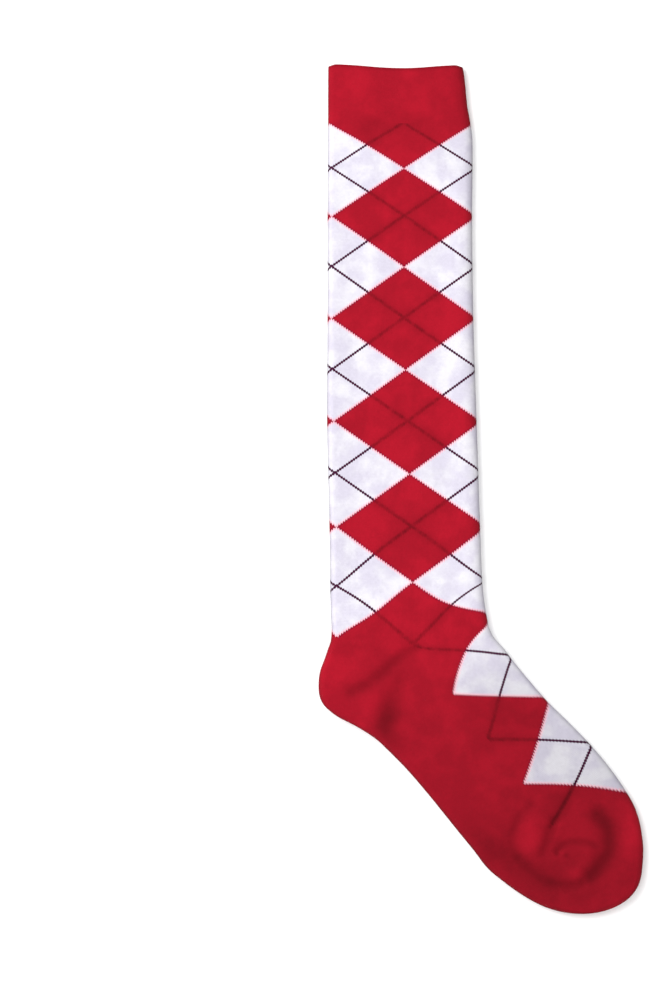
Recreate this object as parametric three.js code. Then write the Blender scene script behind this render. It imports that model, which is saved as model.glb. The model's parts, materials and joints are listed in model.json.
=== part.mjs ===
// Argyle golf knee sock, knitted in the round and lying flat on its side.
// Millimetres: +Y from the toe's side to the cuff's, +X from the back fold to the front fold, +Z up from the
// floor.
import * as THREE from "three";

// Lengths of the tube along its middle.
const cuffHeight = 33.5; // from the mouth to the leg's first row
const legLength = 325; // from the cuff to the ankle row
const footLength = 142.5; // from the ankle row to the toe's first row
const toeLength = 60; // from the toe's first row to the tip

// Widths of the flattened tube, from fold to fold.
const cuffWidth = 86;
const legWidth = 90;
const footWidth = 94;
const toeWidth = 99; // where the toe starts
const heelReach = 68; // from the middle of the ankle to the back of the heel

// Heights of the flattened tube where it is fullest, and its knitted wall.
const cuffLoft = 9;
const legLoft = 9.4;
const footLoft = 10.2;
const foldShare = 0.43; // a folded edge's radius, as a share of the height there
const wall = 1.2;
const cuffWall = 1.5; // the cuff is a double band
const gap = 0.3; // between one piece and the next

// Directions, from straight down the leg.
const footAngle = THREE.MathUtils.degToRad(37.4);
const toeAngle = THREE.MathUtils.degToRad(24.5);
const mouthAngle = THREE.MathUtils.degToRad(3.6); // how far the mouth's two corners stand up

// Rows of knitting are counted in half diamonds of the argyle. The pieces meet at these rows.
const mouthRow = -2.08;
const cuffEndRow = -1;
const ankleRow = 9;
const soleRow = 9.54;
const toeRow = 13;
const tipRow = 14.85;

// The tables hold one line for each row that sets the shape. In all of them "row" is the row's number, "at" is
// how far along its own piece it lies, "shift" moves its middle towards the front fold, and "back" and "front"
// are the widths behind and before the middle. "backTurn" and "frontTurn" turn these two halves of the row, and
// "turn" turns both, one against the other. "loft" is the height. All but the row's number are shares of the
// named sizes.
const cuffRows = [
  { row: mouthRow, at: 0, back: 0.54, front: 0.435, turn: 1, loft: 0.94 },
  { row: -1.75, at: 0.3, back: 0.54, front: 0.45, turn: 0.5, loft: 1 },
  { row: -1.35, at: 0.67, back: 0.54, front: 0.465, turn: 0.1, loft: 1 },
];
const legRows = [
  { row: cuffEndRow, at: 0, shift: 0, back: 0.516, front: 0.466, backTurn: 0, frontTurn: 0, loft: 0.96 },
  { row: -0.6, at: 0.036, shift: 0, back: 0.518, front: 0.48, backTurn: 0, frontTurn: 0, loft: 1 },
  { row: 1, at: 0.183, shift: 0.002, back: 0.522, front: 0.475, backTurn: 0, frontTurn: 0, loft: 1 },
  { row: 3, at: 0.378, shift: 0.002, back: 0.522, front: 0.484, backTurn: 0, frontTurn: 0, loft: 1 },
  { row: 5, at: 0.575, shift: 0.026, back: 0.549, front: 0.483, backTurn: 0, frontTurn: 0, loft: 1 },
  { row: 7, at: 0.776, shift: 0.053, back: 0.559, front: 0.48, backTurn: 0, frontTurn: 0, loft: 1.03 },
  { row: 8, at: 0.881, shift: 0.062, back: 0.564, front: 0.487, backTurn: 0, frontTurn: 0, loft: 1.06 },
  { row: 8.5, at: 0.94, shift: 0.064, back: 0.562, front: 0.506, backTurn: -0.05, frontTurn: 0.22, loft: 1.08 },
];
const heelRows = [
  { row: ankleRow, at: 0, back: 0.745, front: 0.525, backTurn: -0.13, frontTurn: 0.48, loft: 1 },
  { row: 9.09, at: 0.026, back: 0.827, front: 0.511, backTurn: 0.08, frontTurn: 0.535, loft: 1 },
  { row: 9.19, at: 0.052, back: 0.932, front: 0.499, backTurn: 0.29, frontTurn: 0.59, loft: 1.02 },
  { row: 9.3, at: 0.083, back: 1, front: 0.487, backTurn: 0.53, frontTurn: 0.66, loft: 1.03 },
  { row: 9.41, at: 0.113, back: 0.955, front: 0.478, backTurn: 0.7, frontTurn: 0.72, loft: 1.03 },
  { row: soleRow, at: 0.152, back: 0.856, front: 0.473, backTurn: 0.86, frontTurn: 0.79, loft: 1.02 },
];
const footRows = [
  { row: 9.78, at: 0.218, back: 0.561, front: 0.478, backTurn: 0.98, frontTurn: 0.86, loft: 1 },
  { row: 10, at: 0.28, back: 0.541, front: 0.475, backTurn: 1.01, frontTurn: 0.92, loft: 1 },
  { row: 10.5, at: 0.405, back: 0.517, front: 0.48, backTurn: 1.01, frontTurn: 0.96, loft: 1 },
  { row: 11, at: 0.533, back: 0.505, front: 0.492, backTurn: 1.01, frontTurn: 0.96, loft: 1 },
  { row: 11.5, at: 0.654, back: 0.5, front: 0.52, backTurn: 0.99, frontTurn: 0.93, loft: 1 },
  { row: 12, at: 0.775, back: 0.496, front: 0.546, backTurn: 0.96, frontTurn: 0.87, loft: 0.99 },
  { row: 12.5, at: 0.888, back: 0.492, front: 0.56, backTurn: 0.9, frontTurn: 0.75, loft: 0.98 },
];
const toeRows = [
  { row: toeRow, at: 0, shift: 0, back: 0.47, front: 0.531, backTurn: 1.22, frontTurn: 0.88, loft: 0.97 },
  { row: 13.46, at: 0.25, shift: 0.054, back: 0.474, front: 0.474, backTurn: 1, frontTurn: 1, loft: 0.97 },
  { row: 13.93, at: 0.5, shift: 0.079, back: 0.425, front: 0.425, backTurn: 1, frontTurn: 1, loft: 0.97 },
  { row: 14.39, at: 0.75, shift: 0.106, back: 0.378, front: 0.378, backTurn: 1, frontTurn: 1, loft: 0.95 },
  { row: tipRow, at: 1, shift: 0.16, back: 0.348, front: 0.348, backTurn: 1, frontTurn: 1, loft: 0.92 },
];
const toeBluntness = 4; // a higher power makes the end of the toe squarer
const blendShare = 0.7; // how much of each half row turns smoothly into the other half
const narrowestFold = 0.9; // a fold's radius is at most this share of its half row

// Soft creases of the upper layer. "row" and "across" place a point, across being 0 at the back fold and 1 at
// the front fold. "depth" is a share of the wall, "width" a share of the foot's width.
const creases = [
  {
    name: "heel fold from the side of the ankle to the back of the heel",
    points: [
      { row: 9.02, across: 0.5 },
      { row: 9.2, across: 0.28 },
      { row: 9.31, across: 0.06 },
    ],
    depth: 0.7,
    width: 0.045,
  },
  {
    name: "hollow where the heel turns into the sole",
    points: [
      { row: 9.3, across: 0.38 },
      { row: 9.62, across: 0.2 },
      { row: 9.8, across: 0.06 },
    ],
    depth: 0.6,
    width: 0.08,
  },
  {
    name: "ring of the puckered toe",
    points: [
      { row: 13.12, across: 0.82 },
      { row: 13.52, across: 0.85 },
      { row: 13.92, across: 0.79 },
      { row: 14.1, across: 0.66 },
      { row: 14.22, across: 0.5 },
      { row: 14.18, across: 0.3 },
      { row: 13.88, across: 0.19 },
      { row: 13.42, across: 0.155 },
      { row: 12.95, across: 0.2 },
    ],
    depth: 1,
    width: 0.05,
  },
];
const creaseSteps = 6; // straight steps from one point of a crease to the next

// Soft swellings of the upper layer. "height" is a share of the wall, "radius" a share of the foot's width.
const swellings = [
  { name: "lobe behind the toe's middle", row: 13.05, across: 0.29, height: 0.7, radius: 0.12 },
  { name: "bud in the middle of the toe", row: 13.75, across: 0.56, height: 0.7, radius: 0.13 },
];

// Steps of the surface along each piece, and round the tube.
const steps = { cuff: 4, leg: 20, heel: 6, foot: 11, toe: 15 };
const foldSteps = 3; // each quarter turn of a folded edge
const topSteps = 8; // each half of the upper layer
const undersideSteps = 3; // each half of the underside

const colours = {
  red: new THREE.Color(0xb31b2d),
  white: new THREE.Color(0xebe6f2),
};

// A direction on the floor, turned from straight down the leg, and the one a quarter turn before it.
const along = (angle) => new THREE.Vector2(Math.sin(angle), -Math.cos(angle));
const across = (angle) => new THREE.Vector2(Math.cos(angle), Math.sin(angle));

// One row in millimetres: its middle, and the length and turn of its two halves.
function rowOf(line, middle, size, angle) {
  return {
    row: line.row,
    x: middle.x,
    y: middle.y,
    back: line.back * size.back,
    front: line.front * size.front,
    backTurn: (line.backTurn ?? -line.turn) * angle,
    frontTurn: (line.frontTurn ?? line.turn) * angle,
    loft: line.loft * size.loft,
  };
}

function allRows() {
  const ankle = new THREE.Vector2(legRows.at(-1).shift * legWidth, -cuffHeight - legLength);
  const toeStart = ankle.clone().addScaledVector(along(footAngle), footLength);
  const cuff = cuffRows.map((line) => {
    const size = { back: cuffWidth, front: cuffWidth, loft: cuffLoft };
    return rowOf(line, new THREE.Vector2(0, -line.at * cuffHeight), size, mouthAngle);
  });
  const leg = legRows.map((line) => {
    const middle = new THREE.Vector2(line.shift * legWidth, -cuffHeight - line.at * legLength);
    return rowOf(line, middle, { back: legWidth, front: legWidth, loft: legLoft }, footAngle);
  });
  const onFoot = (line) => ankle.clone().addScaledVector(along(footAngle), line.at * footLength);
  const heel = heelRows.map((line) =>
    rowOf(line, onFoot(line), { back: heelReach, front: footWidth, loft: footLoft }, footAngle),
  );
  const foot = footRows.map((line) =>
    rowOf(line, onFoot(line), { back: footWidth, front: footWidth, loft: footLoft }, footAngle),
  );
  const toe = toeRows.map((line) => {
    const middle = toeStart
      .clone()
      .addScaledVector(along(toeAngle), line.at * toeLength)
      .addScaledVector(across(toeAngle), line.shift * toeWidth);
    return rowOf(line, middle, { back: toeWidth, front: toeWidth, loft: footLoft }, toeAngle);
  });
  return [...cuff, ...leg, ...heel, ...foot, ...toe];
}

// A smooth curve through one column of the rows.
function smoothColumn(rows, column) {
  const slopes = rows.map((_, i) => {
    const before = rows[Math.max(i - 1, 0)];
    const after = rows[Math.min(i + 1, rows.length - 1)];
    return (after[column] - before[column]) / (after.row - before.row);
  });
  return (row) => {
    let i = 0;
    while (i < rows.length - 2 && row > rows[i + 1].row) i += 1;
    const span = rows[i + 1].row - rows[i].row;
    const t = (row - rows[i].row) / span;
    const rise = t * t * (3 - 2 * t);
    const leave = t * (1 - t) * (1 - t) * span;
    const arrive = t * t * (t - 1) * span;
    const level = rows[i][column] * (1 - rise) + rows[i + 1][column] * rise;
    return level + slopes[i] * leave + slopes[i + 1] * arrive;
  };
}

const rowTable = allRows();
const columns = ["x", "y", "back", "front", "backTurn", "frontTurn", "loft"];
const curves = Object.fromEntries(columns.map((name) => [name, smoothColumn(rowTable, name)]));

// The row at any number, with the round end of the toe: its width closes in, and so does its height.
function rowAt(row) {
  const found = Object.fromEntries(columns.map((name) => [name, curves[name](row)]));
  const share = THREE.MathUtils.clamp((row - toeRow) / (tipRow - toeRow), 0, 1);
  const narrowing = Math.sqrt(1 - share ** toeBluntness);
  found.back *= narrowing;
  found.front *= narrowing;
  found.foldRadius = foldShare * found.loft;
  const fromTip = Math.min(((1 - share) * toeLength) / found.foldRadius, 1);
  found.closing = Math.sqrt(1 - (1 - fromTip) ** 2);
  return found;
}

// The point of the floor below a row at "reach" before its middle. The two halves of the row turn smoothly into
// each other.
function floorPoint(found, reach) {
  const half = blendShare * (reach < 0 ? found.back : found.front);
  const t = half > 0 ? THREE.MathUtils.clamp((reach / half + 1) / 2, 0, 1) : 0.5;
  const turn = found.backTurn + (found.frontTurn - found.backTurn) * t * t * (3 - 2 * t);
  return across(turn).multiplyScalar(reach).add(new THREE.Vector2(found.x, found.y));
}

function pointAcross(row, share) {
  const found = rowAt(row);
  return floorPoint(found, -found.back + share * (found.back + found.front));
}

// Each crease as a smooth line on the floor.
const creaseLines = creases.map((crease) => {
  const corners = crease.points.map((point) => pointAcross(point.row, point.across));
  const curve = new THREE.SplineCurve(corners);
  return { line: curve.getPoints(creaseSteps * (corners.length - 1)), ...crease };
});

function distanceToLine(point, line) {
  let nearest = Infinity;
  for (let i = 0; i + 1 < line.length; i += 1) {
    const step = line[i + 1].clone().sub(line[i]);
    const t = THREE.MathUtils.clamp(point.clone().sub(line[i]).dot(step) / step.lengthSq(), 0, 1);
    nearest = Math.min(nearest, line[i].clone().addScaledVector(step, t).distanceTo(point));
  }
  return nearest;
}

const bell = (distance, width) => Math.exp(-((distance / width) ** 2));

// How far creases and swellings lift the upper layer at a point of the floor.
function relief(point) {
  let lift = 0;
  for (const crease of creaseLines) {
    lift -= crease.depth * wall * bell(distanceToLine(point, crease.line), crease.width * footWidth);
  }
  for (const swelling of swellings) {
    const middle = pointAcross(swelling.row, swelling.across);
    lift += swelling.height * wall * bell(middle.distanceTo(point), swelling.radius * footWidth);
  }
  return lift;
}

// The spots round the tube, starting at the back fold and going over the upper layer to the front fold and back
// under: "side" is -1 on the back half and 1 on the front half, and "face" is 1 on the upper layer and -1 on the
// underside. "turn" runs from the fold's outermost point to its end, and "run" from there to the middle.
function spotsAround() {
  const spots = [];
  const fold = (side, face, from, to) => {
    for (let k = 0; k < foldSteps; k += 1) {
      spots.push({ side, face, turn: from + ((to - from) * k) / foldSteps });
    }
  };
  const flat = (side, face, from, to, count) => {
    for (let k = 0; k < count; k += 1) {
      spots.push({ side, face, run: from + ((to - from) * k) / count });
    }
  };
  fold(-1, 1, 0, 1);
  flat(-1, 1, 0, 1, topSteps);
  flat(1, 1, 1, 0, topSteps);
  fold(1, 1, 1, 0);
  fold(1, -1, 0, 1);
  flat(1, -1, 0, 1, undersideSteps);
  flat(-1, -1, 1, 0, undersideSteps);
  fold(-1, -1, 1, 0);
  return spots;
}

const spots = spotsAround();
const around = spots.length;
const upperMiddle = foldSteps + topSteps; // the spot at the middle of the upper layer
const lowerMiddle = upperMiddle + topSteps + 2 * foldSteps + undersideSteps; // and of the underside

function surfacePoint(row, spot) {
  const found = rowAt(row);
  const width = spot.side < 0 ? found.back : found.front;
  const roundness = Math.min(found.foldRadius, narrowestFold * width);
  const quarter = ((spot.turn ?? 1) * Math.PI) / 2;
  const inward = roundness * (1 - Math.cos(quarter)) + (spot.run ?? 0) * (width - roundness);
  const reach = spot.side * (width - inward);
  const place = floorPoint(found, reach);
  const flatWidth = Math.max(found.back + found.front - 2 * roundness, 1e-6);
  const share = THREE.MathUtils.clamp((reach + found.back - roundness) / flatWidth, 0, 1);
  const bulge = 4 * share * (1 - share);
  const rise = bulge * bulge * (3 - 2 * bulge);
  let z = found.foldRadius + spot.face * found.foldRadius * found.closing * Math.sin(quarter);
  if (spot.face > 0) {
    const crown = (found.loft - 2 * found.foldRadius) * found.closing;
    z += rise * (crown + relief(place) * found.closing);
  }
  return new THREE.Vector3(place.x, place.y, z);
}

// The rows of the whole sock's surface, with the piece that each step along it belongs to.
function surfaceRows() {
  const even = (from, to, count) => {
    return Array.from({ length: count }, (_, k) => from + ((to - from) * k) / count);
  };
  const towardsTip = (k) => toeRow + (tipRow - toeRow) * Math.sin((k / steps.toe) * (Math.PI / 2));
  const toe = Array.from({ length: steps.toe + 1 }, (_, k) => towardsTip(k));
  return [
    ...even(mouthRow, cuffEndRow, steps.cuff),
    ...even(cuffEndRow, ankleRow, steps.leg),
    ...even(ankleRow, soleRow, steps.heel),
    ...even(soleRow, toeRow, steps.foot),
    ...toe,
  ];
}

const rowsAlong = surfaceRows();
const lastRow = rowsAlong.length - 1;
const outside = rowsAlong.map((row) => spots.map((spot) => surfacePoint(row, spot)));

// The surface's outward direction at each point, from its neighbours.
const facing = outside.map((ring, i) =>
  ring.map((point, j) => {
    if (i === lastRow) return new THREE.Vector3(...along(toeAngle), 0);
    const beside = ring[(j + 1) % around].clone().sub(ring[(j + around - 1) % around]);
    const down = outside[i + 1][j].clone().sub(outside[Math.max(i - 1, 0)][j]);
    return down.cross(beside).normalize();
  }),
);

// The steps along the sock where each piece ends.
const cuffEnd = steps.cuff;
const legEnd = cuffEnd + steps.leg;
const heelEnd = legEnd + steps.heel;
const footEnd = heelEnd + steps.foot;

// The piece that a cell of the surface belongs to, a cell being the patch up to the next row and the next spot.
// Beside the heel, the front half is the foot's instep.
function pieceOf(i, j) {
  if (i < cuffEnd) return "cuff";
  if (i < legEnd) return "leg";
  if (i >= footEnd) return "toe";
  if (i >= heelEnd) return "foot";
  const spot = (j + around) % around;
  return spot >= upperMiddle && spot < lowerMiddle ? "foot" : "heel";
}

// A piece is its cells, thickened inwards by the wall. It stops half a gap short of the next piece.
function knittedPiece(name, thickness) {
  const positions = [];
  const index = [];
  const made = new Map();
  const owns = (i, j) => i < 0 || (i < lastRow && pieceOf(i, j) === name);

  const corner = (i, j) => {
    const spot = i === lastRow ? 0 : (j + around) % around;
    const key = i * around + spot;
    if (made.has(key)) return made.get(key);
    const point = outside[i][spot].clone();
    if (i < lastRow) {
      const towards = new THREE.Vector2();
      let owned = 0;
      for (const [di, dj] of [[-1, -1], [-1, 0], [0, -1], [0, 0]]) {
        if (!owns(i + di, spot + dj)) continue;
        owned += 1;
        towards.add(new THREE.Vector2(di < 0 ? -1 : 1, dj < 0 ? -1 : 1));
      }
      const start = outside[i][spot];
      if (owned < 4 && towards.x !== 0) {
        const next = outside[i + Math.sign(towards.x)][spot];
        point.add(next.clone().sub(start).setLength(gap / 2));
      }
      if (owned < 4 && towards.y !== 0) {
        const next = outside[i][(spot + Math.sign(towards.y) + around) % around];
        point.add(next.clone().sub(start).setLength(gap / 2));
      }
    }
    const inner = point.clone().addScaledVector(facing[i][spot], -thickness);
    const first = positions.length / 3;
    positions.push(...point, ...inner);
    made.set(key, { outer: first, inner: first + 1 });
    return made.get(key);
  };

  const triangle = (a, b, c) => {
    if (a !== b && b !== c && c !== a) index.push(a, b, c);
  };
  const quad = (a, b, c, d) => {
    triangle(a, b, c);
    triangle(a, c, d);
  };

  for (let i = 0; i < lastRow; i += 1) {
    for (let j = 0; j < around; j += 1) {
      if (pieceOf(i, j) !== name) continue;
      const a = corner(i, j);
      const b = corner(i + 1, j);
      const c = corner(i + 1, j + 1);
      const d = corner(i, j + 1);
      quad(a.outer, b.outer, c.outer, d.outer);
      quad(d.inner, c.inner, b.inner, a.inner);
      if (i === 0 || pieceOf(i - 1, j) !== name) quad(d.outer, d.inner, a.inner, a.outer);
      if (i + 1 < lastRow && pieceOf(i + 1, j) !== name) quad(b.outer, b.inner, c.inner, c.outer);
      if (pieceOf(i, j - 1) !== name) quad(a.outer, a.inner, b.inner, b.outer);
      if (pieceOf(i, j + 1) !== name) quad(c.outer, c.inner, d.inner, d.outer);
    }
  }
  const geometry = new THREE.BufferGeometry();
  geometry.setAttribute("position", new THREE.Float32BufferAttribute(positions, 3));
  geometry.setIndex(index);
  geometry.computeVertexNormals();
  return geometry;
}

function knit(name, thickness, colour) {
  const material = new THREE.MeshStandardMaterial({ color: colour, roughness: 0.85, metalness: 0 });
  const mesh = new THREE.Mesh(knittedPiece(name, thickness), material);
  mesh.name = name;
  return mesh;
}

const sock = new THREE.Group();
sock.name = "golf_knee_sock";
sock.add(knit("cuff", cuffWall, colours.red));
sock.add(knit("leg", wall, colours.white));
sock.add(knit("heel", wall, colours.red));
sock.add(knit("foot", wall, colours.red));
sock.add(knit("toe", wall, colours.red));

// The origin is on the floor, below the middle of the whole sock.
const box = new THREE.Box3().setFromObject(sock);
const middle = box.getCenter(new THREE.Vector3());
sock.position.set(-middle.x, -middle.y, -box.min.z);

const group = new THREE.Group();
group.add(sock);

export default group;
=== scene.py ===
"""Argyle golf knee sock, lying flat on its side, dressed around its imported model.

Lengths are in metres. +Y runs from the toe's side to the cuff's side, +X from the back fold to the front
fold, and +Z up from the floor. Rows of knitting are counted in half diamonds of the argyle.
"""

from __future__ import annotations

import json
import logging
import math
from dataclasses import dataclass
from enum import Enum
from typing import NamedTuple, Sequence

import bpy
import numpy as np
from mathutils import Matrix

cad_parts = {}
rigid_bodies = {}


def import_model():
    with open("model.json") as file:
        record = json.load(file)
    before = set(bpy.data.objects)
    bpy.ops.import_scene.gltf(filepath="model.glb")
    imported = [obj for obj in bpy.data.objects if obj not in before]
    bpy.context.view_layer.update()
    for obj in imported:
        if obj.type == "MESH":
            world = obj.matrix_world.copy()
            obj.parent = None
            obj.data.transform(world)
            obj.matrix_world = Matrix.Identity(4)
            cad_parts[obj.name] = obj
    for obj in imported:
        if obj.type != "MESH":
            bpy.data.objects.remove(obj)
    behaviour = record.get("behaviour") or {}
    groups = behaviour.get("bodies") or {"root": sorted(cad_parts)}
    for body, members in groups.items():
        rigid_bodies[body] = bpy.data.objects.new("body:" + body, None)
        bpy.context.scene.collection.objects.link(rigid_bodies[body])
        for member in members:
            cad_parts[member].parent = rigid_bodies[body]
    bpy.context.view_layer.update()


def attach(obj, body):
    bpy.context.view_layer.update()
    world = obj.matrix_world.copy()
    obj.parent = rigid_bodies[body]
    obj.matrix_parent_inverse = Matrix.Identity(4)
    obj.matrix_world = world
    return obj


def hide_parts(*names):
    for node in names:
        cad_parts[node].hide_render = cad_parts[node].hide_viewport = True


MM = 0.001
STITCH_MAP = "Stitches"
BAKE_MAP = "OFBake"
# The point attribute of painted light and shade, by which the knit's colour is scaled.
PAINTED_SHADING = "tone"
STITCHES_PER_UNIT = 32  # wales and courses in half a diamond
COURSES_LENGTH = 32.5 * MM  # of half a diamond, along the tube
WALES_LENGTH = 46 * MM  # of half a diamond, round the tube
UNITS_ROUND = 4  # half diamonds round the tube
TINY = 1e-9  # keeps a division off zero

Colour = tuple[float, float, float]
Ends = tuple[int, int]
log = logging.getLogger("sock")


def along(angle: float) -> np.ndarray:
    """Return the direction on the floor that is turned by an angle from straight down the leg."""
    return np.array([math.sin(angle), -math.cos(angle)])


def across(angle: float) -> np.ndarray:
    """Return the direction a quarter turn before along(angle), towards the front fold."""
    return np.array([math.cos(angle), math.sin(angle)])


def smooth(share: np.ndarray) -> np.ndarray:
    """Return a share from 0 to 1 eased at both ends."""
    return share * share * (3 - 2 * share)


def curve_through(table: np.ndarray, at: np.ndarray) -> np.ndarray:
    """Read a table between its lines along smooth curves.

    Args:
        table: One line per knot, with the knot's place in the first column.
        at: Places to read the other columns at.

    Returns:
        One line per place, with the table's other columns.
    """
    knots, values = table[:, 0], table[:, 1:]
    before = np.maximum(np.arange(len(knots)) - 1, 0)
    after = np.minimum(np.arange(len(knots)) + 1, len(knots) - 1)
    slopes = (values[after] - values[before]) / (knots[after] - knots[before])[:, None]
    knot = np.searchsorted(knots[1:-1], at)
    span = (knots[knot + 1] - knots[knot])[:, None]
    share = (at[:, None] - knots[knot][:, None]) / span
    level = values[knot] * (1 - smooth(share)) + values[knot + 1] * smooth(share)
    leave = slopes[knot] * share * (1 - share) ** 2 * span
    arrive = slopes[knot + 1] * share * share * (share - 1) * span
    return level + leave + arrive


class Line(NamedTuple):
    """One line of a piece's table. All but the row's number are shares of the piece's sizes."""

    row: float
    at: float
    shift: float
    back: float
    front: float
    back_turn: float
    front_turn: float
    loft: float


class Layer(Enum):
    """The two layers of the flattened tube, with the way that each faces."""

    UPPER = 1
    UNDERSIDE = -1


@dataclass(frozen=True)
class Spots:
    """The spots round the tube, from the back fold over the upper layer to the front fold and back under.

    Each spot has a side, -1 on the back half and 1 on the front half, a layer, a turn from 0 at the fold's
    outermost point to 1 at its end, and a run from 0 there to 1 at the middle.
    """

    fold_steps: int = 6
    top_steps: int = 58
    underside_steps: int = 14

    @property
    def upper_middle(self) -> int:
        """Return the spot at the middle of the upper layer."""
        return self.fold_steps + self.top_steps

    @property
    def front_fold(self) -> int:
        """Return the outermost spot of the front fold."""
        return 2 * self.upper_middle

    @property
    def lower_middle(self) -> int:
        """Return the spot at the middle of the underside."""
        return self.front_fold + self.fold_steps + self.underside_steps

    @property
    def count(self) -> int:
        """Return how many spots there are round the tube."""
        return self.front_fold + 2 * (self.fold_steps + self.underside_steps)

    def columns(self) -> tuple[np.ndarray, np.ndarray, np.ndarray, np.ndarray]:
        """Describe the spots.

        Returns:
            The side, layer, turn and run of each spot.
        """
        parts: list[np.ndarray] = []

        def stretch(side: int, layer: Layer, turn: Ends, run: Ends, count: int) -> None:
            """Add the spots of one stretch, without its last.

            Args:
                side: Which half of the tube.
                layer: Which layer.
                turn: The turn at the stretch's two ends.
                run: The run at the stretch's two ends.
                count: How many spots.
            """
            share = np.arange(count) / count
            part = np.empty((4, count))
            part[0], part[1] = side, layer.value
            part[2] = turn[0] + (turn[1] - turn[0]) * share
            part[3] = run[0] + (run[1] - run[0]) * share
            parts.append(part)

        layers = ((Layer.UPPER, -1, self.top_steps), (Layer.UNDERSIDE, 1, self.underside_steps))
        for layer, side, steps in layers:
            stretch(side, layer, (0, 1), (0, 0), self.fold_steps)
            stretch(side, layer, (1, 1), (0, 1), steps)
            stretch(-side, layer, (1, 1), (1, 0), steps)
            stretch(-side, layer, (1, 0), (0, 0), self.fold_steps)
        side, layer, turn, run = np.concatenate(parts, axis=1)
        return side, layer, turn, run


@dataclass(frozen=True)
class Form:
    """A soft form of the upper layer.

    It lifts the cloth, or lowers it where the lift is negative, and its light is how much lighter the knit
    is
    painted on it: painted light on lobes, and painted shade in valleys where the light is negative.
    """

    lift: float
    light: float

    def near(self, place: np.ndarray) -> np.ndarray:
        """Return how much points of the floor lie below the form, from 0 to 1 at its middle."""
        raise NotImplementedError


@dataclass(frozen=True)
class Crease(Form):
    """A soft valley or ridge along a smooth line through points of the floor, in millimetres."""

    width: float
    points: tuple[tuple[float, float], ...]
    steps: int = 8

    def near(self, place: np.ndarray) -> np.ndarray:
        """Measure how much points of the floor lie below the crease.

        Args:
            place: The points.

        Returns:
            A share for each point, from 0 far away to 1 on the crease's line.
        """
        corners = np.array(self.points) * MM
        knots = np.arange(len(corners), dtype=float)
        along_line = np.linspace(0, knots[-1], self.steps * (len(corners) - 1) + 1)
        line = curve_through(np.column_stack([knots, corners]), along_line)
        nearest = np.full(place.shape[:-1], np.inf)
        for start, end in zip(line[:-1], line[1:]):
            step = end - start
            share = np.clip((place - start) @ step / (step @ step), 0, 1)
            gap = np.linalg.norm(place - start - share[..., None] * step, axis=-1)
            nearest = np.minimum(nearest, gap)
        return np.exp(-((nearest / self.width) ** 2))


@dataclass(frozen=True)
class Swelling(Form):
    """A soft oval lobe or dent round a point of the floor, in millimetres.

    Its length lies along its heading, which is an angle from straight down the leg.
    """

    width: float
    length: float
    middle: tuple[float, float]
    heading: float = 0.0

    def near(self, place: np.ndarray) -> np.ndarray:
        """Measure how much points of the floor lie below the oval.

        Args:
            place: The points.

        Returns:
            A share for each point, from 0 far away to 1 at the oval's middle.
        """
        off = place - np.array(self.middle) * MM
        long = off @ along(self.heading) / self.length
        wide = off @ across(self.heading) / self.width
        return np.exp(-(long**2) - wide**2)


@dataclass(frozen=True)
class Waves:
    """The gentle unevenness of cloth that lies flat: some long low waves in all directions."""

    height: float = 0.5 * MM
    shortest: float = 16 * MM
    longest: float = 60 * MM
    count: int = 22
    seed: int = 11

    def lift(self, place: np.ndarray) -> np.ndarray:
        """Work out how far the waves lift the cloth.

        Args:
            place: Points of the floor.

        Returns:
            The lift at each point.
        """
        chance = np.random.default_rng(self.seed)
        lift = np.zeros(place.shape[:-1])
        for _ in range(self.count):
            length = chance.uniform(self.shortest, self.longest)
            heading, start = chance.uniform(0, 2 * math.pi, 2)
            wave = 2 * math.pi * (place @ along(heading)) / length + start
            lift += np.sin(wave) * length / self.longest
        return lift * self.height / math.sqrt(self.count)


@dataclass(frozen=True)
class Piece:
    """One piece of the sock: a length of the knitted tube, shaped by a table of its rows.

    Its length runs along its heading, an angle from straight down the leg. Its lines are shares of its
    length, its widths, its turn and its loft, which is the height of the flattened tube.
    """

    node: str
    slot: str
    length: float
    back_width: float
    front_width: float
    loft: float
    wall: float
    heading: float
    turn: float
    steps: int
    first_row: float
    lines: tuple[Line, ...]
    finish: "Knit"

    def end(self, start: np.ndarray) -> np.ndarray:
        """Return where the middle line that starts at a point ends."""
        shift = self.lines[-1].shift * self.front_width
        return start + self.length * along(self.heading) + shift * across(self.heading)

    def table(self, start: np.ndarray) -> np.ndarray:
        """Work out the piece's lines in metres.

        Args:
            start: Where the piece's middle line starts on the floor.

        Returns:
            One line per row, with its number, middle x and y, back, front, two turns and loft.
        """
        lines = []
        for line in self.lines:
            down = line.at * self.length * along(self.heading)
            middle = start + down + line.shift * self.front_width * across(self.heading)
            sizes = (line.back * self.back_width, line.front * self.front_width)
            turns = (line.back_turn * self.turn, line.front_turn * self.turn)
            lines.append([line.row, *middle, *sizes, *turns, line.loft * self.loft])
        return np.array(lines)

    def cells(self, sock: "Sock") -> np.ndarray:
        """Mark the cells of the sock's surface that are this piece's.

        Args:
            sock: The sock.

        Returns:
            True for each such cell, in a line per step along the sock and a column per spot.
        """
        first = sock.first_step(self)
        mask = np.zeros((len(sock.rows) - 1, sock.spots.count), dtype=bool)
        mask[first : first + self.steps] = True
        return mask

    def stitches(self, sock: "Sock", cells: np.ndarray, corners: np.ndarray) -> np.ndarray:
        """Return the place in the knitting of some cells' corners, in half diamonds round and along."""
        rows, spots = corners[..., 0], corners[..., 1]
        return np.stack([sock.wales[rows, spots], sock.courses[rows, spots]], axis=-1)

    def build(self, sock: "Sock") -> bpy.types.Object:
        """Build the piece, dress it, and fix it to the sock's body.

        Args:
            sock: The sock whose surface the piece is cut from.

        Returns:
            The finished piece.
        """
        shell = Shell(sock, self)
        piece = bpy.data.objects.new(f"{self.node}_knit", shell.mesh())
        bpy.context.scene.collection.objects.link(piece)
        piece.data.materials.append(self.finish.material())
        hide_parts(self.node)
        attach(piece, "root")
        return piece


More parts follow.
